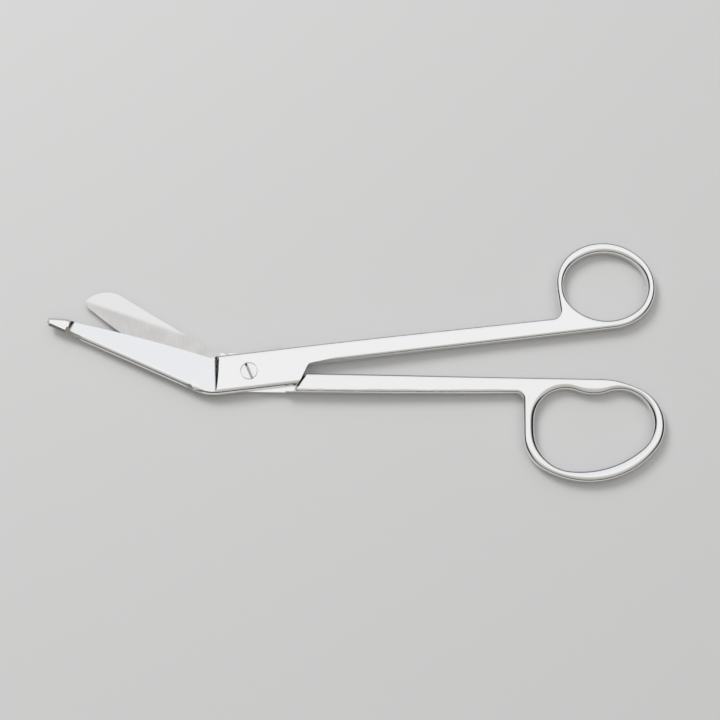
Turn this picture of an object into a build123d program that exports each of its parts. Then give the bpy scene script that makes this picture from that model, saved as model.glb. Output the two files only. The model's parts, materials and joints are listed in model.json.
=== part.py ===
"""Bandage scissors, partly open, lying on their underside.

Each half is drawn closed, with the pivot on the origin, X along the mid-line towards the rings and
z = 0 on the plane where the two halves slide. The half with the probe is drawn as it lies, the blunt
half is drawn the same way up and then turned over about X. Both are then swung open and lifted.

A blade is drawn from the bend in its spine: one distance along the spine, one across towards the
cutting edge. A ring is a run of circles with tangent arcs between them.
"""
import os
from math import atan2, cos, hypot, pi, radians, sin, sqrt, tan

from build123d import *

# joint
HALF_THICKNESS = 2.4        # flat bar of each half at the pivot
RIDE_GAP = 0.05             # between the two sliding faces
BAR_OUTER_Y = 6.5           # shank side of the joint bar
BAR_SPINE_Y = 6.35          # spine side of the joint bar
OPEN_EACH = 3.95            # each half is swung this far from closed, degrees
HANDLE_GAP = 0.45           # between the shanks when closed
SHOULDER_X = 19.6           # where the shoulder meets the shank, on the outer face
SHOULDER_ANGLE = 58.0       # direction of the shoulder in plan, degrees
SHOULDER_LEAN = 1.35        # how far it leans along X between the outer face and the sliding face
SHOULDER_CLEARANCE = 0.04   # left at the stop when closed
SHOULDER_ROOT_R = 1.6       # corner between shoulder and shank
SHOULDER_TOE_R = 1.0        # corner between shoulder and bar

# pivot screw
HEAD_D = 5.4
HEAD_T = 1.1
HEAD_FIT = 0.05             # radial gap of the head in its counterbore
HEAD_CHAMFER = 0.15         # on the head and on the mouth of its counterbore
JOURNAL_D = 3.6
JOURNAL_FIT = 0.03          # radial gap of the screw in the half that rides on it
THREAD_D = 3.2
SLOT_W = 0.8
SLOT_T = 0.6
SLOT_ANGLE = 111.0          # degrees

# shanks
SHANK_START_X = 12.0
FLAT_END_X = 30.0           # from here the upper flat falls away towards the rings
RING_THICKNESS = 4.15
EDGE_R = 1.2                # rounded upper edges of shanks and rings
UNDER_EDGE = 0.75           # bevel of their edges on the underside
FLANK_R = 1.9               # rounded spine side of the joint bar
FADE_LENGTH = 12.0          # over which the inner rounding of a shank fades in

# small ring, an oval with an oval hole
SMALL_RING_X = 121.0        # centre, from the pivot
SMALL_RING_LENGTH = 33.2
SMALL_RING_WIDTH = 29.6
SMALL_RING_TILT = -15.5     # degrees
SMALL_END_BAND = 2.6        # metal at the two ends of the hole
SMALL_SIDE_BAND = 3.15      # metal along its sides
SMALL_HOLE_TILT = -8.3      # degrees
SMALL_HOLE_SHIFT = 0.33     # hole nearer the shank than the ring's centre
SMALL_HOLE_R = 0.85         # rounded upper edge of the hole
SMALL_NECK_Y = 5.85         # shank side just before the ring
SMALL_ROOT_R = 2.8          # corner between shank and ring

# large ring, an oval with a three-cornered hole that swells between two fingers
LARGE_RING_X = 113.0
LARGE_RING_LENGTH = 46.7
LARGE_RING_WIDTH = 33.5
LARGE_RING_TILT = -12.0     # degrees
LARGE_BAND = 3.6            # metal between the hole and the box round the ring
LOWER_CORNER_R = 10.6       # hole corner by the shank
UPPER_CORNER_R = 12.4       # hole corner across from it
FAR_CORNER_R = 10.8         # hole end away from the blades
NEAR_SIDE_R = 40.0          # long arc between the first two corners
TOP_SIDE_R = 32.0           # long arc from the upper corner to the far end
SWELL_R = 14.6              # swelling between the two fingers
LARGE_HOLE_R = 0.85
LARGE_NECK_Y = 5.4
LARGE_ROOT_R = 2.2

# both blades
EDGE_THICKNESS = 0.3        # along the cutting edge
EDGE_LAND = 1.2             # flat of the sliding face along the cutting edge
SPINE_LAND = 0.8            # and along the spine
RIDGE_OFFSET = 1.2          # ridge between spine bevel and ground face, from the spine
RIDGE_ROOT_T = 2.2          # height of the ridge at the bend
SPINE_ROOT_T = 1.2          # height of the spine there
RICASSO_X = 9.55            # where the grind of an outer face starts, before the pivot
RICASSO_LEAN = 3.75         # degrees
COVE_R = 2.8                # cove at that start

# blade with the probe
PROBE_BEND_X = 14.75        # bend in the spine, before the pivot
PROBE_ANGLE = 149.0         # direction of the spine in plan, degrees
PROBE_BEND_R = 16.0
PROBE_OVERHANG = 8.87       # point of the probe past the sweep of the blunt point
PROBE_TIP_WIDTH = 4.75      # where the blade runs into the probe
PROBE_EDGE_BOW = 0.55       # cutting edge beyond a straight line
PROBE_HEEL = (3.4, 0.15)    # heel of the cutting edge, from the corner of the bar
PROBE_RIDGE_TIP_T = 1.5
PROBE_SPINE_TIP_T = 0.6
PROBE_HOLLOW_T = 0.15
NUB_LENGTH = 8.9            # blunt probe past the end of the blade
NUB_WIDTH = 4.35
NUB_SPINE_FACE = 7.2        # cove in front of the probe, back from the point along the spine
NUB_EDGE_FACE = 4.35        # and along the cutting edge
NUB_COVE_R = 2.4
NUB_TOP = 2.2
NUB_BOTTOM = -1.4
NUB_CHAMFER = 0.8
NUB_R = 0.9
NUB_CLEARANCE = 0.6         # between the foot of the probe and the sweep of the blunt point

# blunt blade
BLUNT_BEND_X = 11.6
BLUNT_ANGLE = 210.3         # degrees
BLUNT_BEND_R = 9.0
BLUNT_LENGTH = 46.7         # bend to the corner at the point
BLUNT_TIP_WIDTH = 8.7
BLUNT_EDGE_BOW = 1.64
BLUNT_HEEL = (3.0, 1.5)
BLUNT_RIDGE_TIP_T = 1.6
BLUNT_SPINE_TIP_T = 0.8
BLUNT_HOLLOW_T = 0.15
NOSE_LENGTH = 8.8           # rounded nose, measured along the spine
NOSE_BOW = 2.2
NOSE_CORNER_R = 0.6

LAP = RIDE_GAP / 2
TOP = LAP + HALF_THICKNESS
INNER_Y = HANDLE_GAP / 2
BAR_CORNER_X = -RICASSO_X + 0.55
BAR_END_X = SHOULDER_X + FADE_LENGTH + 2.4
TAPER_END_X = LARGE_RING_X - LARGE_RING_LENGTH / 2 - 1.5
OVAL_ROUNDNESS = 0.6        # end radius of an oval: half width less this share of length over width
FAR = 300                   # past the ends of everything


def prism(face, bottom, top):
    """Straight-sided solid between two heights."""
    return extrude(Pos(0, 0, bottom) * face, top - bottom)


def polygon(*points):
    return make_face(Polyline(*points, close=True))


def turned_over(shape):
    return Rot(180, 0, 0) * shape


def bowed(start, end, bow):
    """Arc between two points, bowed out to the right of the way from start to end."""
    span = hypot(end[0] - start[0], end[1] - start[1])
    right = ((end[1] - start[1]) / span, (start[0] - end[0]) / span)
    middle = ((start[0] + end[0]) / 2 + right[0] * bow, (start[1] + end[1]) / 2 + right[1] * bow)
    return ThreePointArc(start, middle, end)


def arc_about(centre, start, end, clockwise):
    """Arc about a centre from one of its points to another."""
    radius = hypot(start[0] - centre[0], start[1] - centre[1])
    first = atan2(start[1] - centre[1], start[0] - centre[0])
    last = atan2(end[1] - centre[1], end[0] - centre[0])
    sweep = -((first - last) % (2 * pi)) if clockwise else (last - first) % (2 * pi)
    middle = first + sweep / 2
    return ThreePointArc(start, (centre[0] + radius * cos(middle), centre[1] + radius * sin(middle)), end)


def join_centre(first, second, radius):
    """Centre of the arc that joins two circles (x, y, r), hollow outwards if its radius is negative."""
    span = hypot(second[0] - first[0], second[1] - first[1])
    along = ((second[0] - first[0]) / span, (second[1] - first[1]) / span)
    from_first = abs(radius - first[2])
    from_second = abs(radius - second[2])
    forward = (from_first ** 2 - from_second ** 2 + span ** 2) / (2 * span)
    left = sqrt(from_first ** 2 - forward ** 2) * (1 if radius > 0 else -1)
    return (
        first[0] + along[0] * forward - along[1] * left,
        first[1] + along[1] * forward + along[0] * left,
    )


def touching_point(circle, centre, radius):
    """Where a circle (x, y, r) touches the joining arc with this centre and radius."""
    span = hypot(centre[0] - circle[0], centre[1] - circle[1])
    reach = circle[2] / span * (-1 if radius > 0 else 1)
    return (circle[0] + (centre[0] - circle[0]) * reach, circle[1] + (centre[1] - circle[1]) * reach)


def joined_circles(circles, joins):
    """Face bounded by circles, taken anticlockwise, and the arcs of given radii that join them."""
    pairs = list(zip(circles, circles[1:] + circles[:1], joins))
    centres = [join_centre(first, second, radius) for first, second, radius in pairs]
    leaving = [touching_point(first, centre, radius) for (first, _, radius), centre in zip(pairs, centres)]
    arriving = [touching_point(second, centre, radius) for (_, second, radius), centre in zip(pairs, centres)]
    edges = []
    for index, circle in enumerate(circles):
        edges.append(arc_about(circle[:2], arriving[index - 1], leaving[index], False))
        edges.append(arc_about(centres[index], leaving[index], arriving[index], joins[index] < 0))
    return make_face(Curve() + edges)


def oval(centre, length, width, tilt):
    """Near and far end circles of an oval and the radius of its two sides."""
    half_x, half_y = length / 2, width / 2
    end_r = half_y - OVAL_ROUNDNESS * (half_x - half_y)
    reach = half_x - end_r
    side_r = (reach ** 2 + half_y ** 2 - end_r ** 2) / (2 * (half_y - end_r))
    step = (reach * cos(radians(tilt)), reach * sin(radians(tilt)))
    near = (centre[0] - step[0], centre[1] - step[1], end_r)
    far = (centre[0] + step[0], centre[1] + step[1], end_r)
    return near, far, side_r


def shank_profile():
    """Side view of a shank: flat below, the upper flat easing down to the thinner ring."""
    drop = TOP + TOP - RING_THICKNESS
    middle = ((FLAT_END_X + TAPER_END_X) / 2, 0, TOP - drop / 2)
    end = (TAPER_END_X, 0, TOP - drop)
    fall = TangentArc((FLAT_END_X, 0, TOP), middle, tangent=(1, 0, 0))
    ease = TangentArc(end, middle, tangent=(-1, 0, 0))
    rest = Polyline(
        end,
        (FAR, 0, TOP - drop),
        (FAR, 0, -TOP),
        (SHANK_START_X, 0, -TOP),
        (SHANK_START_X, 0, TOP),
        (FLAT_END_X, 0, TOP),
    )
    return extrude(make_face(fall + ease + rest), FAR, both=True)


def shoulder_region(clearance):
    """Room on the joint side of the leaning shoulder, with rounded corners, as two heights lofted."""
    slope = 1 / tan(radians(SHOULDER_ANGLE))
    toe_y = -BAR_SPINE_Y - 0.02
    past = 0.5
    lean = SHOULDER_LEAN / HALF_THICKNESS
    levels = []
    for height in (LAP - past, TOP + past):
        root_x = SHOULDER_X + clearance + (height - TOP) * lean
        toe_x = root_x - (INNER_Y - toe_y) * slope
        face = polygon(
            (-FAR, -FAR),
            (-FAR, FAR),
            (root_x + FADE_LENGTH, FAR),
            (root_x + FADE_LENGTH, INNER_Y + EDGE_R),
            (root_x, INNER_Y),
            (toe_x, toe_y),
            (toe_x - 3, toe_y),
            (toe_x - 3, -FAR),
        )
        face = fillet(face.vertices().sort_by_distance((root_x, INNER_Y, 0))[0], SHOULDER_ROOT_R)
        face = fillet(face.vertices().sort_by_distance((toe_x, toe_y, 0))[0], SHOULDER_TOE_R)
        levels.append(Pos(0, 0, height) * face)
    return loft(levels, ruled=True)


def rounded_shank(outline, hole, hole_r, upper_side):
    """Shank and ring in full thickness, edges rounded on the side that shows, bevelled below."""
    profile = shank_profile() if upper_side else mirror(shank_profile(), Plane.XY)
    body = prism(outline - hole, -TOP, TOP) & profile
    rim = hole.wires()[0]
    band = rim.distance_to(outline.wires()[0])
    outer_r = min(EDGE_R, 0.5 * band)
    hole_r = min(hole_r, 0.95 * band - outer_r)

    def long_edges(by_hole, shows):
        edges = []
        for edge in body.edges():
            middle = edge.position_at(0.5)
            if abs(edge.tangent_at(0.5).Z) > 0.5 or middle.X < SHANK_START_X + 0.01:
                continue
            near_hole = rim.distance_to(Vertex(middle.X, middle.Y, 0)) < 0.05
            if near_hole == by_hole and ((middle.Z > 0) == upper_side) == shows:
                edges.append(edge)
        return edges

    body = body.fillet(outer_r, long_edges(False, True))
    body = body.fillet(hole_r, long_edges(True, True))
    body = body.chamfer(UNDER_EDGE, None, long_edges(False, False))
    return body.chamfer(min(UNDER_EDGE, hole_r), None, long_edges(True, False))


def ring_and_web(near, far, side_r, neck_y, root_r):
    """Ring outline and the web that joins it to its shank."""
    centre = join_centre(near, far, side_r)
    leftmost = (near[0] - near[2], near[1])
    ring = joined_circles([near, far], [side_r, side_r])
    web = make_face(
        Polyline((SHANK_START_X, INNER_Y), (centre[0], INNER_Y), near[:2], leftmost, (leftmost[0], neck_y))
        + TangentArc((SHANK_START_X, BAR_OUTER_Y), (leftmost[0], neck_y), tangent=(1, 0))
        + Line((SHANK_START_X, BAR_OUTER_Y), (SHANK_START_X, INNER_Y))
    )
    web = fillet(web.vertices().sort_by_distance((leftmost[0], neck_y, 0))[0], root_r)
    return ring + web


def ring_oval(centre_x, length, width, tilt):
    """Oval of a ring that touches the inner line of its shank, and the height of its centre."""
    near, far, side_r = oval((centre_x, 0), length, width, tilt)
    rise = INNER_Y + side_r - join_centre(near, far, side_r)[1]
    return (near[0], near[1] + rise, near[2]), (far[0], far[1] + rise, far[2]), side_r, rise


def small_ring_shank():
    """Outline and hole of the shank with the small ring."""
    near, far, side_r, rise = ring_oval(SMALL_RING_X, SMALL_RING_LENGTH, SMALL_RING_WIDTH, SMALL_RING_TILT)
    outline = ring_and_web(near, far, side_r, SMALL_NECK_Y, SMALL_ROOT_R)
    hole_near, hole_far, hole_side_r = oval(
        (SMALL_RING_X - SMALL_HOLE_SHIFT / 2, rise - SMALL_HOLE_SHIFT),
        SMALL_RING_LENGTH - 2 * SMALL_END_BAND,
        SMALL_RING_WIDTH - 2 * SMALL_SIDE_BAND,
        SMALL_HOLE_TILT,
    )
    return outline, joined_circles([hole_near, hole_far], [hole_side_r, hole_side_r])


def large_ring_shank():
    """Outline and hole of the shank with the large ring, its hole swelling between two fingers."""
    near, far, side_r, _ = ring_oval(LARGE_RING_X, LARGE_RING_LENGTH, LARGE_RING_WIDTH, LARGE_RING_TILT)
    outline = ring_and_web(near, far, side_r, LARGE_NECK_Y, LARGE_ROOT_R)
    left = near[0] - near[2] + LARGE_BAND
    right = far[0] + far[2] - LARGE_BAND
    low = INNER_Y + LARGE_BAND
    high = join_centre(far, near, side_r)[1] + side_r - LARGE_BAND
    far_end = (right - FAR_CORNER_R, low + FAR_CORNER_R, FAR_CORNER_R)
    upper = (left + UPPER_CORNER_R, high - UPPER_CORNER_R, UPPER_CORNER_R)
    lower = (left + LOWER_CORNER_R, low + LOWER_CORNER_R, LOWER_CORNER_R)
    return outline, joined_circles([far_end, upper, lower], [TOP_SIDE_R, NEAR_SIDE_R, -SWELL_R])


class Blade:
    """Plan of a blade: the bend in its spine, the direction of the spine, tip and heel of its edge."""

    def __init__(self, bend_x, angle, tip, heel, bow):
        self.bend = (-bend_x, -BAR_SPINE_Y)
        self.angle = radians(angle)
        self.tip = tip
        self.heel_corner = (BAR_CORNER_X - heel[0], BAR_OUTER_Y - heel[1])
        rel = (self.heel_corner[0] - self.bend[0], self.heel_corner[1] - self.bend[1])
        self.heel = (
            rel[0] * cos(self.angle) + rel[1] * sin(self.angle),
            rel[0] * sin(self.angle) - rel[1] * cos(self.angle),
        )
        self.bow = bow

    def point(self, along, across):
        return (
            self.bend[0] + along * cos(self.angle) + across * sin(self.angle),
            self.bend[1] + along * sin(self.angle) - across * cos(self.angle),
        )

    def plane(self, along):
        """Section plane: local x runs from the spine to the cutting edge, local y is up."""
        direction = Vector(cos(self.angle), sin(self.angle), 0)
        across = Vector(sin(self.angle), -cos(self.angle), 0)
        origin = Vector(*self.point(along, 0), 0)
        return Plane(origin=origin, x_dir=across, z_dir=direction * -1)

    def width(self, along):
        """From the spine to the line on which the ground face runs out."""
        share = (along - self.tip[0]) / (self.heel[0] - self.tip[0])
        return self.tip[1] + (self.heel[1] - self.tip[1]) * share + 0.85 * self.bow

    def bar_outline(self):
        """Joint bar from the bend, round its far end, to the heel of the cutting edge."""
        shank_y = INNER_Y + EDGE_R + 0.1
        return Polyline(
            self.heel_corner,
            (BAR_CORNER_X, BAR_OUTER_Y),
            (SHANK_START_X, BAR_OUTER_Y),
            (SHANK_START_X, shank_y),
            (BAR_END_X, shank_y),
            (BAR_END_X, -BAR_SPINE_Y),
            self.bend,
        )

    def ground(self, root, tip, trim, coves):
        """Tool for the outer face between stations (distance, ridge height), trimmed in plan."""
        sections = []
        for distance, height in (root, tip):
            edge = self.width(distance)
            slope = (height - EDGE_THICKNESS - LAP) / (edge - RIDGE_OFFSET)
            left = (-3, height + slope * (RIDGE_OFFSET + 3))
            right = (edge + 6, EDGE_THICKNESS + LAP - slope * 6)
            sections.append(self.plane(distance) * polygon(left, right, (edge + 6, 9), (-3, 9)))
        tool = loft(sections, ruled=True) & prism(polygon(*trim), -5, 12)
        for (x, y), radius in coves:
            edges = [edge for edge in tool.edges() if abs(edge.tangent_at(0.5).Z) < 0.5]
            edges = [edge for edge in edges if edge.position_at(0.5).Z < 4]
            tool = tool.fillet(radius, [ShapeList(edges).sort_by_distance((x, y, 1))[0]])
        return tool

    def spine_bevel(self, root, tip):
        """Tool for the bevel up to the ridge: stations (distance, spine height, ridge height)."""
        sections = []
        for distance, low, high in (root, tip):
            slope = (high - low) / RIDGE_OFFSET
            corners = ((-2, low - 2 * slope), (3, low + 3 * slope), (-2, low + 3 * slope))
            sections.append(self.plane(distance) * polygon(*corners))
        return loft(sections, ruled=True)

    def hollow(self, root, tip):
        """Tool for the hollow sliding face: stations (distance, land at the spine, depth)."""
        sections = []
        for distance, near, depth in (root, tip):
            far = self.width(distance) - EDGE_LAND
            arc = ThreePointArc((near, LAP), ((near + far) / 2, LAP + depth), (far, LAP))
            rest = Polyline((far, LAP), (far, LAP - 1), (near, LAP - 1), (near, LAP))
            sections.append(self.plane(distance) * make_face(arc + rest))
        return loft(sections, ruled=True)


def bar_and_blade(outline, upper_side):
    """Flat bar with its blade: spine side rounded on the outer face, shank side edged like the shank."""
    body = prism(outline, LAP, TOP)

    def top_edges(y):
        edges = [edge for edge in body.edges() if edge.position_at(0.5).Z > TOP - 0.01]
        return [edge for edge in edges if abs(edge.position_at(0.5).Y - y) < 0.01]

    if upper_side:
        body = body.fillet(EDGE_R, top_edges(BAR_OUTER_Y))
    else:
        body = body.chamfer(UNDER_EDGE, None, top_edges(BAR_OUTER_Y))
    return body.fillet(FLANK_R, top_edges(-BAR_SPINE_Y))


def ricasso_line():
    """Plan of the line on which both grinds start."""
    reach = BAR_OUTER_Y + 1.5
    lean = reach * tan(radians(RICASSO_LEAN))
    return (-RICASSO_X + lean, reach), (-RICASSO_X - lean, -reach)


def blunt_plan():
    return Blade(BLUNT_BEND_X, BLUNT_ANGLE, (BLUNT_LENGTH, BLUNT_TIP_WIDTH), BLUNT_HEEL, BLUNT_EDGE_BOW)


def probe_blade():
    # the probe reaches past the circle that the blunt point sweeps
    swept_r = hypot(*blunt_plan().point(BLUNT_LENGTH, BLUNT_TIP_WIDTH))
    forward = BAR_SPINE_Y * sin(radians(PROBE_ANGLE)) + PROBE_BEND_X * cos(radians(PROBE_ANGLE))
    bend_r = hypot(PROBE_BEND_X, BAR_SPINE_Y)
    length = forward + sqrt(forward ** 2 - bend_r ** 2 + (swept_r + PROBE_OVERHANG) ** 2)
    end = length - NUB_LENGTH
    blade = Blade(PROBE_BEND_X, PROBE_ANGLE, (end, PROBE_TIP_WIDTH), PROBE_HEEL, PROBE_EDGE_BOW)
    tip = blade.point(*blade.tip)
    outline = make_face(
        blade.bar_outline()
        + Polyline(blade.bend, blade.point(end, 0), tip)
        + bowed(tip, blade.heel_corner, -PROBE_EDGE_BOW)
    )
    outline = fillet(outline.vertices().sort_by_distance((*blade.bend, 0))[0], PROBE_BEND_R)
    body = bar_and_blade(outline, True)

    # below the sliding plane the probe stays clear of the other blade's point
    nub_root = end - 1.5
    corners = (
        (nub_root, 0),
        (length - 1, 0),
        (length, 0.22 * NUB_WIDTH),
        (length, 0.55 * NUB_WIDTH),
        (length - 0.6 * NUB_LENGTH, NUB_WIDTH),
        (nub_root, PROBE_TIP_WIDTH + 0.15),
    )
    nub = polygon(*[blade.point(*corner) for corner in corners])
    crown = prism(nub, LAP, NUB_TOP)
    root_middle = blade.point(nub_root, PROBE_TIP_WIDTH / 2)
    top_edges = crown.edges().filter_by_position(Axis.Z, NUB_TOP - 0.01, NUB_TOP + 0.01)
    crown = chamfer(top_edges.sort_by_distance((*root_middle, NUB_TOP))[1:], NUB_CHAMFER)
    foot = prism(nub, NUB_BOTTOM, LAP)
    foot = fillet(foot.edges().filter_by_position(Axis.Z, NUB_BOTTOM - 0.01, NUB_BOTTOM + 0.01), NUB_R)
    body = body + crown + (foot - Cylinder(swept_r + NUB_CLEARANCE, 20))

    lean = (NUB_SPINE_FACE - NUB_EDGE_FACE) / NUB_WIDTH
    face_foot = length - NUB_SPINE_FACE
    trim = (
        *ricasso_line(),
        blade.point(20, -20),
        blade.point(face_foot - 3 * lean, -3),
        blade.point(face_foot + 9 * lean, 9),
        blade.point(25, 30),
    )
    coves = (((-RICASSO_X, 3), COVE_R), (blade.point(face_foot + 2 * lean, 2), NUB_COVE_R))
    body -= blade.ground((-4, RIDGE_ROOT_T), (end + 2, PROBE_RIDGE_TIP_T), trim, coves)
    body -= blade.spine_bevel((-4, SPINE_ROOT_T, RIDGE_ROOT_T), (end + 2, PROBE_SPINE_TIP_T, PROBE_RIDGE_TIP_T))
    body -= blade.hollow((3.5, SPINE_LAND, PROBE_HOLLOW_T), (end - 1, SPINE_LAND, PROBE_HOLLOW_T / 2))
    return body


def blunt_blade():
    blade = blunt_plan()
    nose = blade.point(BLUNT_LENGTH - NOSE_LENGTH, 0)
    tip = blade.point(*blade.tip)
    outline = make_face(
        blade.bar_outline()
        + Line(blade.bend, nose)
        + bowed(nose, tip, -NOSE_BOW)
        + bowed(tip, blade.heel_corner, -BLUNT_EDGE_BOW)
    )
    outline = fillet(outline.vertices().sort_by_distance((*blade.bend, 0))[0], BLUNT_BEND_R)
    outline = fillet(outline.vertices().sort_by_distance((*tip, 0))[0], NOSE_CORNER_R)
    body = bar_and_blade(outline, False)
    trim = (*ricasso_line(), (-30, -FAR), (-FAR, -FAR), (-FAR, BAR_OUTER_Y + 20))
    past = BLUNT_LENGTH + 7
    body -= blade.ground((-8, RIDGE_ROOT_T), (past, BLUNT_RIDGE_TIP_T), trim, (((-RICASSO_X, 3), COVE_R),))
    body -= blade.spine_bevel((-8, SPINE_ROOT_T, RIDGE_ROOT_T), (past, BLUNT_SPINE_TIP_T, BLUNT_RIDGE_TIP_T))
    hollow_end = BLUNT_LENGTH - NOSE_LENGTH - 2
    body -= blade.hollow((3.5, SPINE_LAND, BLUNT_HOLLOW_T), (hollow_end, 0.6 * BLUNT_TIP_WIDTH, 0.05))
    return body


def half(blade, shank, hole_r, upper_side):
    """One half, closed: bar, blade, shank and ring, lapped to ride on the other half."""
    outline, hole = shank
    body = blade & shoulder_region(0)
    body += rounded_shank(outline, hole, hole_r, upper_side)
    lower_room = turned_over(shoulder_region(SHOULDER_CLEARANCE))
    below = Pos(0, 0, LAP) * Box(2 * FAR, 2 * FAR, FAR, align=(Align.CENTER, Align.CENTER, Align.MAX))
    return body - (lower_room & below)


def turned(diameter, bottom, top):
    """Cylinder on the pivot between two heights."""
    centred = (Align.CENTER, Align.CENTER, Align.MIN)
    return Pos(0, 0, bottom) * Cylinder(diameter / 2, top - bottom, align=centred)


def pivot_screw():
    """Slotted screw on the pivot, head flush with the upper bar and end ground flush below."""
    head = turned(HEAD_D, TOP - HEAD_T, TOP)
    head = chamfer(head.edges().sort_by(Axis.Z)[-1], HEAD_CHAMFER)
    slot = Pos(0, 0, TOP) * Rot(0, 0, SLOT_ANGLE) * Box(HEAD_D + 1, SLOT_W, 2 * SLOT_T)
    return head + turned(JOURNAL_D, -LAP, TOP - HEAD_T) + turned(THREAD_D, -TOP, -LAP) - slot


def screw_hole():
    """Hole for journal and head in the upper half, its mouth broken like the head."""
    wide = HEAD_D / 2 + HEAD_FIT
    mouth = Cone(wide, wide + HEAD_CHAMFER, HEAD_CHAMFER, align=(Align.CENTER, Align.CENTER, Align.MAX))
    journal = turned(JOURNAL_D + 2 * JOURNAL_FIT, -TOP, TOP)
    return journal + turned(2 * wide, TOP - HEAD_T - HEAD_FIT, TOP) + Pos(0, 0, TOP) * mouth


def main():
    os.makedirs("parts", exist_ok=True)
    probe = half(probe_blade(), small_ring_shank(), SMALL_HOLE_R, True) - screw_hole()
    blunt = turned_over(half(blunt_blade(), large_ring_shank(), LARGE_HOLE_R, False))
    blunt -= turned(THREAD_D, -FAR, FAR)
    lift = Pos(0, 0, TOP)
    export_step(lift * Rot(0, 0, OPEN_EACH) * probe, "parts/probe_half.step")
    export_step(lift * Rot(0, 0, -OPEN_EACH) * blunt, "parts/blunt_half.step")
    export_step(lift * pivot_screw(), "parts/pivot_screw.step")


main()
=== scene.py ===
"""Bandage scissors: looks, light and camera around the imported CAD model."""
import json
from bisect import bisect
from math import atan2, cos, hypot, pi, radians, sin

import bmesh
import bpy
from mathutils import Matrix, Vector
from mathutils.bvhtree import BVHTree
from mathutils.kdtree import KDTree

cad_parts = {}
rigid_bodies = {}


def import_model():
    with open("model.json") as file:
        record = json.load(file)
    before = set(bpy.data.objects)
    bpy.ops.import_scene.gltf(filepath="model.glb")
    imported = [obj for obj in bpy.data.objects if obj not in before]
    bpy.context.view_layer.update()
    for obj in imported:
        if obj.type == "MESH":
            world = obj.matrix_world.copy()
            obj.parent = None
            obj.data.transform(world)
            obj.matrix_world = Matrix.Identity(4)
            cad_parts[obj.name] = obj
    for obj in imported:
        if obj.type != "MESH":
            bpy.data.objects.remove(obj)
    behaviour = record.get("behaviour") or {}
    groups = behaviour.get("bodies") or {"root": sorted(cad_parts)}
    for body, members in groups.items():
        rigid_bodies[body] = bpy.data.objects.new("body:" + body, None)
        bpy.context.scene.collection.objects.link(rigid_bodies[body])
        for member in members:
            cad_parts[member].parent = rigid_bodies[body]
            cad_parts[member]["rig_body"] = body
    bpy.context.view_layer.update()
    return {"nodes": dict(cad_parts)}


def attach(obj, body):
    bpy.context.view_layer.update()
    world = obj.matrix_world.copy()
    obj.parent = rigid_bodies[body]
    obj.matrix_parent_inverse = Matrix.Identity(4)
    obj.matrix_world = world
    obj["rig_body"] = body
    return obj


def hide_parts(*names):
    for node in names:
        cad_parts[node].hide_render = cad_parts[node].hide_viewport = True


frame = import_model()

MM = 0.001
CAMERA_AT = Vector((32.0, -84.9, 413.2)) * MM
CAMERA_LOOKS_AT = Vector((36.5, 2.3, 2.425)) * MM
CAMERA_LENS = 63.64
SENSOR = 36.0

# from here on, places and sizes are in the frame's millimetres
# borders of the materials, and how softly they change
SLIDING_Z = 2.4             # inner face of the lower half
SLIDING_DEPTH = 0.25        # its satin begins this far below it
SLIDING_SOFT = 0.05
BLADE_END_X = -9.5          # blades lie before this line
BLADE_SOFT = 0.6
BAND_SLOPE = 0.403          # band along the spine of the lower blade, less rough, its lighter tone painted reflection
BAND_Y = 5.25
BAND_SOFT = 0.9
PROBE_END_X = -58.0         # the probe and its cove lie before this one
PROBE_SOFT = 0.8
CROWN_Z = 4.5               # just under the crown of the probe
CROWN_SOFT = 0.06
SCREW_TOP_Z = 4.85
SLOT_FLOOR_Z = 4.25
SLOT_BELOW_TOP = 0.2        # the slot's painted shade begins this far below the top of the screw
SLOT_UNDER_FLOOR = 0.1      # and ends this far below its floor
SLOT_CORNER = 0.05          # the floor's lighter painted shade ends this far above it
SLOT_SOFT = 0.02
SLOT_SHADOW_SPOT = (-1.02, 2.12)    # painted shadow spot at one end of the slot
SHADOW_SPOT_R = 0.34
SHADOW_SPOT_SOFT = 0.06

# finger rings
SMALL_CENTRE = (119.5, 23.1)
LARGE_CENTRE = (111.5, -25.1)
RING_TOP_Z = 4.15           # rings' upper face
RING_WALL_Z = 0.75          # lower edge of their straight walls
RING_MIDDLE_Z = 1.5         # a height that the straight walls cross
RING_REACH = 27.0           # rings lie within this of their centres
HOLE_BAND = 0.5             # corners this near to the hole are its own
SAME_HEIGHT = 0.02
SAME_ANGLE = 0.004          # radians
ANGLE_MARGIN = 0.05
CREST_GAP = 0.004           # roundings end this far above the upper face
WALL_GAP = 0.02             # and start this far clear of the walls
CLEAR_REACH = 0.8           # a rounding that takes nothing off
CUTTER_MARGIN = 4.0         # cutters reach this far above the rings and around them
HOLE_SHARE = 0.4            # share of a hole's radius where its cutter begins
HOLE_STEPS = 288
SECTION_STEPS = 12

# rounding along the -Y edge of the probe half's shank, by its foot
EDGE_START = (29.91, 2.29)
EDGE_END = (58.89, 4.29)
EDGE_ROUNDING = 1.184
EDGE_LIFT = 0.006           # it stands this far proud
EDGE_OVERLAP = 0.2          # and reaches this far past the rounding into the shank
EDGE_STEPS = 12
SHANK_ABOVE_Z = 9.0         # a height above the whole shank

# bevel along the spine of the probe blade: start at the bend, direction, and heights of its two corners
FLANK_START = (-18.23, -5.33)
FLANK_WAY = (-0.8906, 0.4548)
FLANK_LENGTH = 43.0
FLANK_WIDTH = 1.27
FLANK_LOW_Z = 3.54
FLANK_LOW_FALL = 0.0107     # per millimetre towards the probe
FLANK_TOP_Z = 4.57
FLANK_TOP_FALL = 0.0105
FLANK_TOP_BEND = 0.00006
FLANK_FACE_FALL = 0.2       # per millimetre across the face next to the bevel
FLANK_REACH = 0.75
FLANK_FADE = 4.0
FLANK_LIFT = 0.04           # the cutter rises this much where it fades out
FLANK_STEPS = 30
FLANK_CUTTER_SIDE = -2.0
FLANK_CUTTER_TOP_Z = 7.0

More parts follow.
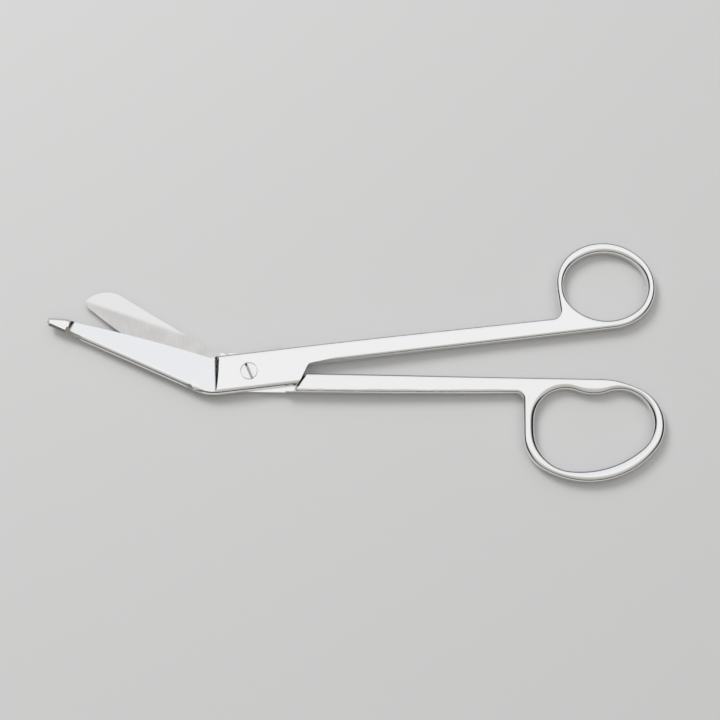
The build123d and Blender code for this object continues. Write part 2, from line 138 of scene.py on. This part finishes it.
# meshes after their cuts
WELD = 0.001 * MM
CUT_WELD = 0.002 * MM
SAME_PLACE = 0.003 * MM
FLAT_ANGLE = radians(0.02)
SHARP_ANGLE = radians(28)


def smooth_share(value, low, high):
    share = min(max((value - low) / (high - low), 0.0), 1.0)
    return share * share * (3 - 2 * share)


def radius_curve(points):
    """Radius against angle through points (angle, radius), smooth, for any angle within their reach."""
    angles = [angle for angle, _ in points]
    radii = [radius for _, radius in points]
    slopes = []
    for i in range(len(points)):
        low, high = max(i - 1, 0), min(i + 1, len(points) - 1)
        slopes.append((radii[high] - radii[low]) / (angles[high] - angles[low]))

    def radius_at(angle):
        i = min(max(bisect(angles, angle) - 1, 0), len(points) - 2)
        span = angles[i + 1] - angles[i]
        t = (angle - angles[i]) / span
        return (
            radii[i] * (1 + 2 * t) * (1 - t) ** 2
            + slopes[i] * span * t * (1 - t) ** 2
            + radii[i + 1] * t * t * (3 - 2 * t)
            + slopes[i + 1] * span * t * t * (t - 1)
        )

    return radius_at


def ring_walls(obj, centre, start, end):
    """Radius against angle, about a point in its hole, of a ring's hole and of its free rim."""
    tree = BVHTree.FromObject(obj, bpy.context.evaluated_depsgraph_get())
    inside = Vector((*centre, RING_MIDDLE_Z)) * MM
    hole, rim = [], []
    for vertex in obj.data.vertices:
        x, y, z = vertex.co / MM
        angle = atan2(y - centre[1], x - centre[0])
        radius = hypot(x - centre[0], y - centre[1])
        if abs(z - RING_WALL_Z) > SAME_HEIGHT or radius > RING_REACH:
            continue
        hit = tree.ray_cast(inside, Vector((cos(angle), sin(angle), 0)))[0]
        to_hole = (hit - inside).length / MM
        for turn in (-2 * pi, 0, 2 * pi):
            if radius < to_hole + HOLE_BAND:
                hole.append((angle + turn, radius))
            elif start - ANGLE_MARGIN < angle + turn < end + ANGLE_MARGIN:
                rim.append((angle + turn, radius))
    curves = []
    for group in (hole, rim):
        points = []
        for angle, radius in sorted(group):
            if not points or angle - points[-1][0] > SAME_ANGLE:
                points.append((angle, radius))
        curves.append(radius_curve(points))
    return curves


def add_object(name, data):
    obj = bpy.data.objects.new(name, data)
    bpy.context.scene.collection.objects.link(obj)
    return obj


def solid_from_rows(name, rows, closed):
    """Mesh from loops of equal length: joined in turn, the last to the first or each end capped."""
    mesh = bpy.data.meshes.new(name)
    size = len(rows[0])
    verts = [Vector(point) * MM for row in rows for point in row]
    faces = []
    for i in range(len(rows) if closed else len(rows) - 1):
        following = (i + 1) % len(rows)
        for j in range(size):
            k = (j + 1) % size
            faces.append((i * size + j, i * size + k, following * size + k, following * size + j))
    if not closed:
        faces.append(tuple(range(size))[::-1])
        faces.append(tuple(range((len(rows) - 1) * size, len(rows) * size)))
    mesh.from_pydata(verts, [], faces)
    mesh.update()
    cleaner = bmesh.new()
    cleaner.from_mesh(mesh)
    bmesh.ops.recalc_face_normals(cleaner, faces=cleaner.faces)
    cleaner.to_mesh(mesh)
    cleaner.free()
    for polygon in mesh.polygons:
        polygon.use_smooth = True
    return add_object(name, mesh)


def section(wall_r, reach, depth, outward, last_angle):
    """Quarter oval from the wall up to the upper face, and the box above it, as (radius, height)."""
    way = 1 if outward else -1
    start = wall_r - way * WALL_GAP
    back = start * HOLE_SHARE if outward else start + CUTTER_MARGIN
    bottom, top = RING_TOP_Z - depth, RING_TOP_Z + CUTTER_MARGIN
    points = [(back, bottom)]
    for i in range(SECTION_STEPS + 1):
        angle = last_angle * i / SECTION_STEPS
        radius = start + way * reach * (1 - cos(angle)) / (1 - cos(last_angle))
        points.append((radius, bottom + (depth + CREST_GAP) * sin(angle) / sin(last_angle)))
    return points + [(radius, top), (back, top)]


def around(centre, angle, points):
    return [(centre[0] + r * cos(angle), centre[1] + r * sin(angle), z) for r, z in points]


def across(foot, inward, points):
    return [(foot[0] + inward[0] * step, foot[1] + inward[1] * step, z) for step, z in points]


def welded_copy(node):
    """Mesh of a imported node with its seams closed, as a new object."""
    look = add_object(node + "_look", frame["nodes"][node].data.copy())
    cleaner = bmesh.new()
    cleaner.from_mesh(look.data)
    bmesh.ops.remove_doubles(cleaner, verts=cleaner.verts, dist=WELD)
    cleaner.to_mesh(look.data)
    cleaner.free()
    while "custom_normal" in look.data.attributes:
        look.data.attributes.remove(look.data.attributes["custom_normal"])
    return look


def settle(look):
    """Makes the object's mesh what its modifiers give."""
    evaluated = look.evaluated_get(bpy.context.evaluated_depsgraph_get())
    mesh = bpy.data.meshes.new_from_object(evaluated)
    look.modifiers.clear()
    look.data = mesh


def combine(look, other, operation):
    """Cuts the other solid out of the look, or joins it on, and deletes it."""
    modifier = look.modifiers.new("combine", "BOOLEAN")
    modifier.operation = operation
    modifier.solver = "EXACT"
    modifier.object = other
    settle(look)
    bpy.data.objects.remove(other)


def fill_edge(look):
    """Straightens the rounding along the probe half's shank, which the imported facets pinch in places."""
    tree = BVHTree.FromObject(look, bpy.context.evaluated_depsgraph_get())
    way = [EDGE_END[k] - EDGE_START[k] for k in (0, 1)]
    length = hypot(*way)
    inward = (-way[1] / length, way[0] / length)
    inner = EDGE_ROUNDING + EDGE_OVERLAP
    radius = EDGE_ROUNDING + EDGE_LIFT
    rows = []
    for i in range(EDGE_STEPS + 1):
        foot = [EDGE_START[k] + way[k] * i / EDGE_STEPS for k in (0, 1)]
        above = Vector(across(foot, inward, [(inner, SHANK_ABOVE_Z)])[0]) * MM
        top = tree.ray_cast(above, Vector((0, 0, -1)))[0].z / MM
        middle_z = top - EDGE_ROUNDING
        profile = [(inner, middle_z), (inner, top - EDGE_LIFT)]
        for j in range(SECTION_STEPS + 1):
            angle = pi / 2 * (1 - j / SECTION_STEPS)
            profile.append((EDGE_ROUNDING - radius * cos(angle), middle_z + radius * sin(angle)))
        rows.append(across(foot, inward, profile))
    combine(look, solid_from_rows("edge_filler", rows, False), "UNION")


def bend_between(first, corner, last):
    """Curve from the first point to the last that leaves and arrives towards the corner."""
    points = []
    for i in range(SECTION_STEPS + 1):
        t = i / SECTION_STEPS
        shares = ((1 - t) ** 2, 2 * t * (1 - t), t * t)
        pairs = list(zip(shares, (first, corner, last)))
        points.append([sum(share * point[k] for share, point in pairs) for k in (0, 1)])
    return points


def round_flank(look):
    """Rounds both corners of the bevel along the spine of the probe blade, fading out at its ends."""
    inward = (FLANK_WAY[1], -FLANK_WAY[0])
    rows = []
    for i in range(FLANK_STEPS + 1):
        along = FLANK_LENGTH * i / FLANK_STEPS
        ending = smooth_share(along, FLANK_LENGTH - FLANK_FADE / 2, FLANK_LENGTH)
        size = smooth_share(along, 0, FLANK_FADE) * (1 - ending)
        lower = (0.0, FLANK_LOW_Z - FLANK_LOW_FALL * along)
        upper = (FLANK_WIDTH, FLANK_TOP_Z - FLANK_TOP_FALL * along - FLANK_TOP_BEND * along * along)
        middle = [(lower[k] + upper[k]) / 2 for k in (0, 1)]
        first = (0.0, lower[1] - FLANK_REACH * size)
        last = (upper[0] + FLANK_REACH * size, upper[1] - FLANK_FACE_FALL * FLANK_REACH * size)
        inner = [[corner[k] + size * (middle[k] - corner[k]) for k in (0, 1)] for corner in (lower, upper)]
        profile = bend_between(first, lower, inner[0])[:-1] + bend_between(inner[1], upper, last)
        lift = CREST_GAP + FLANK_LIFT * (1 - size)
        profile = [(step - lift, height + lift) for step, height in profile]
        before = (FLANK_CUTTER_SIDE, profile[0][1])
        box = [(profile[-1][0], FLANK_CUTTER_TOP_Z), (FLANK_CUTTER_SIDE, FLANK_CUTTER_TOP_Z)]
        start = [FLANK_START[k] + along * FLANK_WAY[k] for k in (0, 1)]
        rows.append(across(start, inward, [before] + profile + box))
    combine(look, solid_from_rows("flank_cutter", rows, False), "DIFFERENCE")


def packed_match(node):
    """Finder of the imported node's own polygon at a place, or None where the look was cut."""
    packed = frame["nodes"][node].data
    tree = KDTree(len(packed.polygons))
    for polygon in packed.polygons:
        tree.insert(polygon.center, polygon.index)
    tree.balance()

    def match(place, corners):
        _, index, gap = tree.find(place)
        polygon = packed.polygons[index]
        return polygon if gap < SAME_PLACE and polygon.loop_total == corners else None

    return match


def clean_cuts(look, match):
    """Closes the seams of the cuts, joins their flat facets and marks the sharp edges."""
    cleaner = bmesh.new()
    cleaner.from_mesh(look.data)
    bmesh.ops.remove_doubles(cleaner, verts=cleaner.verts, dist=CUT_WELD)
    bmesh.ops.dissolve_degenerate(cleaner, edges=cleaner.edges, dist=WELD)
    changed = {face for face in cleaner.faces if match(face.calc_center_median(), len(face.verts)) is None}
    inner = [edge for edge in cleaner.edges if all(face in changed for face in edge.link_faces)]
    bmesh.ops.dissolve_limit(cleaner, angle_limit=FLAT_ANGLE, verts=[], edges=inner)
    for face in cleaner.faces:
        face.smooth = True
    for edge in cleaner.edges:
        edge.smooth = edge.is_manifold and edge.calc_face_angle() < SHARP_ANGLE
    cleaner.to_mesh(look.data)
    cleaner.free()


def corner_place(mesh, corner):
    return mesh.vertices[mesh.loops[corner].vertex_index].co


def keep_packed_normals(look, node, match):
    packed = frame["nodes"][node].data
    normals = [Vector(corner.vector) for corner in look.data.corner_normals]
    for polygon in look.data.polygons:
        own = match(polygon.center, polygon.loop_total)
        if own is None:
            continue
        for corner in polygon.loop_indices:
            place = corner_place(look.data, corner)
            nearest = min(own.loop_indices, key=lambda i: (corner_place(packed, i) - place).length)
            normals[corner] = Vector(packed.corner_normals[nearest].vector)
    look.data.normals_split_custom_set(normals)


def smooth_look(look, node):
    """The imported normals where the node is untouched, smooth shading with real edges and flats elsewhere."""
    match = packed_match(node)
    clean_cuts(look, match)
    look.modifiers.new("flats", "WEIGHTED_NORMAL").keep_sharp = True
    triangles = look.modifiers.new("triangles", "TRIANGULATE")
    triangles.keep_custom_normals = True
    triangles.quad_method = "BEAUTY"
    triangles.ngon_method = "BEAUTY"
    settle(look)
    keep_packed_normals(look, node, match)


def rounded_ring(node, centre, hole, rim, free, mends=()):
    """The node, after its mends, with its ring rounded like a wire.

    Hole and rim give (reach, depth, last angle) of their roundings in mm and degrees. Free gives the first
    and last angle of the rim that stands clear of the shank, and how softly its rounding starts.
    """
    look = welded_copy(node)
    for mend in mends:
        mend(look)
    start, end, fade = [radians(angle) for angle in free]
    hole_r, rim_r = ring_walls(look, centre, start, end)

    def share(angle):
        return smooth_share(angle, start, start + fade) * (1 - smooth_share(angle, end - fade, end))

    rows = []
    for i in range(HOLE_STEPS):
        angle = start + 2 * pi * i / HOLE_STEPS
        reach = hole[0]
        if angle < end:
            half_band = (rim_r(angle) - hole_r(angle)) / 2
            reach += share(angle) * (min(half_band, reach) - reach)
        rows.append(around(centre, angle, section(hole_r(angle), reach, hole[1], True, radians(hole[2]))))
    combine(look, solid_from_rows("hole_cutter", rows, True), "DIFFERENCE")
    rows = []
    steps = int((end - start) / (2 * pi) * HOLE_STEPS)
    for i in range(steps + 1):
        angle = start + (end - start) * i / steps
        half_band = (rim_r(angle) - hole_r(angle)) / 2
        reach = CLEAR_REACH + share(angle) * (min(half_band, rim[0]) - CLEAR_REACH)
        depth = CLEAR_REACH + share(angle) * (rim[1] - CLEAR_REACH)
        rows.append(around(centre, angle, section(rim_r(angle), reach, depth, False, radians(rim[2]))))
    combine(look, solid_from_rows("rim_cutter", rows, False), "DIFFERENCE")
    smooth_look(look, node)
    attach(look, frame["nodes"][node]["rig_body"])
    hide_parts(node)
    return look


probe_look = rounded_ring(
    "probe_half",
    SMALL_CENTRE,
    hole=(1.6, 1.5, 90),
    rim=(1.6, 1.5, 90),
    free=(-75, 200, 25),
    mends=(fill_edge, round_flank),
)
blunt_look = rounded_ring(
    "blunt_half",
    LARGE_CENTRE,
    hole=(2.0, 1.5, 72),
    rim=(1.8, 1.5, 90),
    free=(-188, 75, 28),
)


def new_material(name):
    material = bpy.data.materials.new(name)
    material.use_nodes = True
    tree = material.node_tree
    return material, tree, tree.nodes["Principled BSDF"]


def link(tree, source, target):
    tree.links.new(source, target)


def plug(tree, value, socket):
    """A number, a colour or another node's output into a socket."""
    if isinstance(value, (int, float)):
        socket.default_value = value
    elif isinstance(value, tuple):
        socket.default_value = (*value, 1)
    else:
        link(tree, value, socket)


def math_node(tree, operation, first, second=None):
    node = tree.nodes.new("ShaderNodeMath")
    node.operation = operation
    plug(tree, first, node.inputs[0])
    if second is not None:
        plug(tree, second, node.inputs[1])
    return node.outputs[0]


def ramp_between(tree, value, low, high, to_low=0.0, to_high=1.0):
    """Smooth step of a value from one level to another."""
    node = tree.nodes.new("ShaderNodeMapRange")
    node.interpolation_type = "SMOOTHSTEP"
    node.inputs["From Min"].default_value = low
    node.inputs["From Max"].default_value = high
    node.inputs["To Min"].default_value = to_low
    node.inputs["To Max"].default_value = to_high
    link(tree, value, node.inputs["Value"])
    return node.outputs["Result"]


def mixed(tree, mask, without, with_mask, colour=False):
    """Either value by a mask; the node has its own sockets for numbers and for colours."""
    node = tree.nodes.new("ShaderNodeMix")
    node.data_type = "RGBA" if colour else "FLOAT"
    first, second, result = (6, 7, 2) if colour else (2, 3, 0)
    plug(tree, mask, node.inputs[0])
    plug(tree, without, node.inputs[first])
    plug(tree, with_mask, node.inputs[second])
    return node.outputs[result]


def noise(tree, coords, scale, detail=3.0, stretch=(1, 1, 1), turn=0.0):
    mapping = tree.nodes.new("ShaderNodeMapping")
    mapping.inputs["Scale"].default_value = stretch
    mapping.inputs["Rotation"].default_value = (0, 0, turn)
    link(tree, coords, mapping.inputs["Vector"])
    node = tree.nodes.new("ShaderNodeTexNoise")
    node.inputs["Scale"].default_value = scale
    node.inputs["Detail"].default_value = detail
    link(tree, mapping.outputs[0], node.inputs["Vector"])
    return node.outputs["Fac"]


class Steel:
    """Polished steel whose tone and roughness can be changed inside a mask."""

    def __init__(self, name, tone, roughness):
        self.material, self.tree, self.shader = new_material(name)
        self.coords = self.tree.nodes.new("ShaderNodeTexCoord").outputs["Object"]
        split = self.tree.nodes.new("ShaderNodeSeparateXYZ")
        link(self.tree, self.coords, split.inputs[0])
        self.x, self.y, self.z = [math_node(self.tree, "DIVIDE", axis, MM) for axis in split.outputs]
        self.shader.inputs["Metallic"].default_value = 1.0
        self.tone = (tone, tone, tone)
        smudge = noise(self.tree, self.coords, scale=60.0)
        self.roughness = ramp_between(
            self.tree, smudge, low=0.3, high=0.7, to_low=roughness * 0.8, to_high=roughness * 1.25
        )

    def above(self, axis, level, soft):
        return ramp_between(self.tree, axis, level - soft, level + soft)

    def below(self, axis, level, soft):
        return ramp_between(self.tree, axis, level - soft, level + soft, 1.0, 0.0)

    def both(self, first, second):
        return math_node(self.tree, "MULTIPLY", first, second)

    def change(self, mask, tone, roughness):
        self.tone = mixed(self.tree, mask, self.tone, tone, colour=True)
        self.roughness = mixed(self.tree, mask, self.roughness, roughness)

    def finish(self, obj):
        plug(self.tree, self.tone, self.shader.inputs["Base Color"])
        plug(self.tree, self.roughness, self.shader.inputs["Roughness"])
        ripple = noise(self.tree, self.coords, scale=90.0, detail=1.0)
        bump = self.tree.nodes.new("ShaderNodeBump")
        bump.inputs["Strength"].default_value = 0.05
        bump.inputs["Distance"].default_value = 0.2 * MM
        link(self.tree, ripple, bump.inputs["Height"])
        link(self.tree, bump.outputs[0], self.shader.inputs["Normal"])
        obj.data.materials.clear()
        obj.data.materials.append(self.material)


def upper_half():
    """Polished, the probe a little duller below its crown, where its darker beige-grey tone is painted
    reflection.
    """
    steel = Steel("polished_probe_steel", tone=0.90, roughness=0.09)
    probe_end = steel.below(steel.x, PROBE_END_X, PROBE_SOFT)
    steel.change(probe_end, tone=(0.90, 0.90, 0.89), roughness=0.14)
    # below the crown: a duller roughness, and a darker beige-grey tone that is painted reflection of the room
    duller_with_painted_reflection = steel.both(probe_end, steel.below(steel.z, CROWN_Z, CROWN_SOFT))
    steel.change(duller_with_painted_reflection, tone=(0.80, 0.785, 0.75), roughness=0.3)
    steel.finish(probe_look)


def lower_half():
    """Polished outside, satin on the sliding face of the blade with a less rough band by the spine, made
    lighter by painted reflection.
    """
    steel = Steel("polished_blunt_steel", tone=0.89, roughness=0.09)
    before_joint = steel.below(steel.x, BLADE_END_X, BLADE_SOFT)
    blade = steel.both(before_joint, steel.above(steel.z, SLIDING_Z - SLIDING_DEPTH, SLIDING_SOFT))
    lines = noise(steel.tree, steel.coords, scale=1600.0, detail=2.0, stretch=(1.0, 0.15, 1.0), turn=0.5)
    blotches = noise(steel.tree, steel.coords, scale=160.0, detail=2.0)
    shade = math_node(steel.tree, "ADD", math_node(steel.tree, "MULTIPLY", lines, 0.65), blotches)
    ground = ramp_between(steel.tree, shade, low=0.55, high=1.1)
    satin = mixed(steel.tree, ground, (0.68, 0.67, 0.65), (0.76, 0.75, 0.735), colour=True)
    steel.change(blade, tone=satin, roughness=0.42)
    # band by the spine: a less rough satin, and its lighter tone is painted reflection
    line = math_node(steel.tree, "ADD", steel.y, math_node(steel.tree, "MULTIPLY", steel.x, BAND_SLOPE))
    band_with_painted_reflection = steel.both(blade, steel.above(line, BAND_Y, BAND_SOFT))
    steel.change(band_with_painted_reflection, tone=(0.86, 0.855, 0.855), roughness=0.3)
    steel.finish(blunt_look)


def screw():
    """Polished head, its slot duller, with painted shade inside it."""
    steel = Steel("polished_screw_steel", tone=0.88, roughness=0.1)
    under_top = steel.below(steel.z, SCREW_TOP_Z - SLOT_BELOW_TOP, SLOT_SOFT)
    slot = steel.both(under_top, steel.above(steel.z, SLOT_FLOOR_Z - SLOT_UNDER_FLOOR, SLOT_SOFT))
    # painted shade on the slot's walls, with a duller roughness
    steel.change(slot, tone=(0.16, 0.15, 0.14), roughness=0.4)
    # a lighter painted shade on the slot's floor
    bottom = steel.both(slot, steel.below(steel.z, SLOT_FLOOR_Z + SLOT_CORNER, SLOT_SOFT))
    steel.change(bottom, tone=(0.56, 0.51, 0.46), roughness=0.45)
    gaps = [math_node(steel.tree, "SUBTRACT", axis, at) for axis, at in zip((steel.x, steel.y), SLOT_SHADOW_SPOT)]
    squares = [math_node(steel.tree, "MULTIPLY", gap, gap) for gap in gaps]
    away = math_node(steel.tree, "SQRT", math_node(steel.tree, "ADD", *squares))
    # near-black painted shadow at one end of the slot
    shadow_spot = steel.both(slot, steel.below(away, SHADOW_SPOT_R, SHADOW_SPOT_SOFT))
    steel.change(shadow_spot, tone=(0.02, 0.02, 0.02), roughness=0.6)
    steel.finish(frame["nodes"]["pivot_screw"])


def floor():
    bpy.ops.mesh.primitive_plane_add(size=4.0, location=(0, 0, 0))
    plane = bpy.context.object
    plane.name = "studio_floor"
    material, _, shader = new_material("studio_floor")
    shader.inputs["Base Color"].default_value = (0.64, 0.64, 0.64, 1)
    shader.inputs["Roughness"].default_value = 0.9
    plane.data.materials.append(material)


def area_light(name, location, target, size, energy):
    """Square lamp that the steel doesn't mirror."""
    data = bpy.data.lights.new(name, "AREA")
    data.shape = "SQUARE"
    data.size = size
    data.energy = energy
    lamp = add_object(name, data)
    lamp.location = location
    lamp.rotation_euler = (Vector(target) - Vector(location)).to_track_quat("-Z", "Y").to_euler()
    lamp.visible_glossy = False


def studio():
    """A long soft box overhead, greyer walls in front and dark round the horizon."""
    world = bpy.data.worlds.new("studio")
    bpy.context.scene.world = world
    world.use_nodes = True
    tree = world.node_tree
    background = tree.nodes["Background"]
    coords = tree.nodes.new("ShaderNodeTexCoord")
    split = tree.nodes.new("ShaderNodeSeparateXYZ")
    link(tree, coords.outputs["Generated"], split.inputs[0])
    x, y, z = split.outputs

    def squared(value, centre, reach):
        share = math_node(tree, "DIVIDE", math_node(tree, "SUBTRACT", value, centre), reach)
        return math_node(tree, "MULTIPLY", share, share)

    away = math_node(tree, "SQRT", math_node(tree, "ADD", squared(x, 0.0, 0.85), squared(y, 0.35, 0.62)))
    ramp = tree.nodes.new("ShaderNodeValToRGB")
    steps = (
        (0.0, (0.96, 0.96, 0.96)),
        (0.40, (0.95, 0.95, 0.96)),
        (0.52, (0.74, 0.74, 0.73)),
        (0.66, (0.60, 0.585, 0.545)),
        (0.95, (0.48, 0.465, 0.42)),
    )
    elements = ramp.color_ramp.elements
    while len(elements) < len(steps):
        elements.new(0.5)
    for element, (place, colour) in zip(elements, steps):
        element.position = place
        element.color = (*colour, 1)
    link(tree, math_node(tree, "MULTIPLY", away, 0.5), ramp.inputs[0])
    side = math_node(tree, "ABSOLUTE", x)
    walls = ramp_between(tree, side, low=0.62, high=0.88, to_low=1.0, to_high=0.04)
    horizon = ramp_between(tree, z, low=0.14, high=0.50, to_low=0.02, to_high=1.0)
    beyond = ramp_between(tree, y, low=0.30, high=0.52)
    cool = mixed(tree, beyond, ramp.outputs[0], (0.90, 0.915, 0.94), colour=True)
    link(tree, cool, background.inputs["Color"])
    link(tree, math_node(tree, "MULTIPLY", walls, horizon), background.inputs["Strength"])
    area_light("key", location=(-0.45, 0.75, 0.9), target=(0.04, 0, 0), size=0.5, energy=8)


def camera():
    data = bpy.data.cameras.new("camera")
    data.lens = CAMERA_LENS
    data.sensor_width = SENSOR
    data.clip_start = 0.01
    obj = add_object("camera", data)
    obj.location = CAMERA_AT
    obj.rotation_euler = (CAMERA_LOOKS_AT - CAMERA_AT).to_track_quat("-Z", "Y").to_euler()
    bpy.context.scene.camera = obj


upper_half()
lower_half()
screw()
floor()
studio()
camera()
bpy.context.scene.view_settings.view_transform = "Standard"
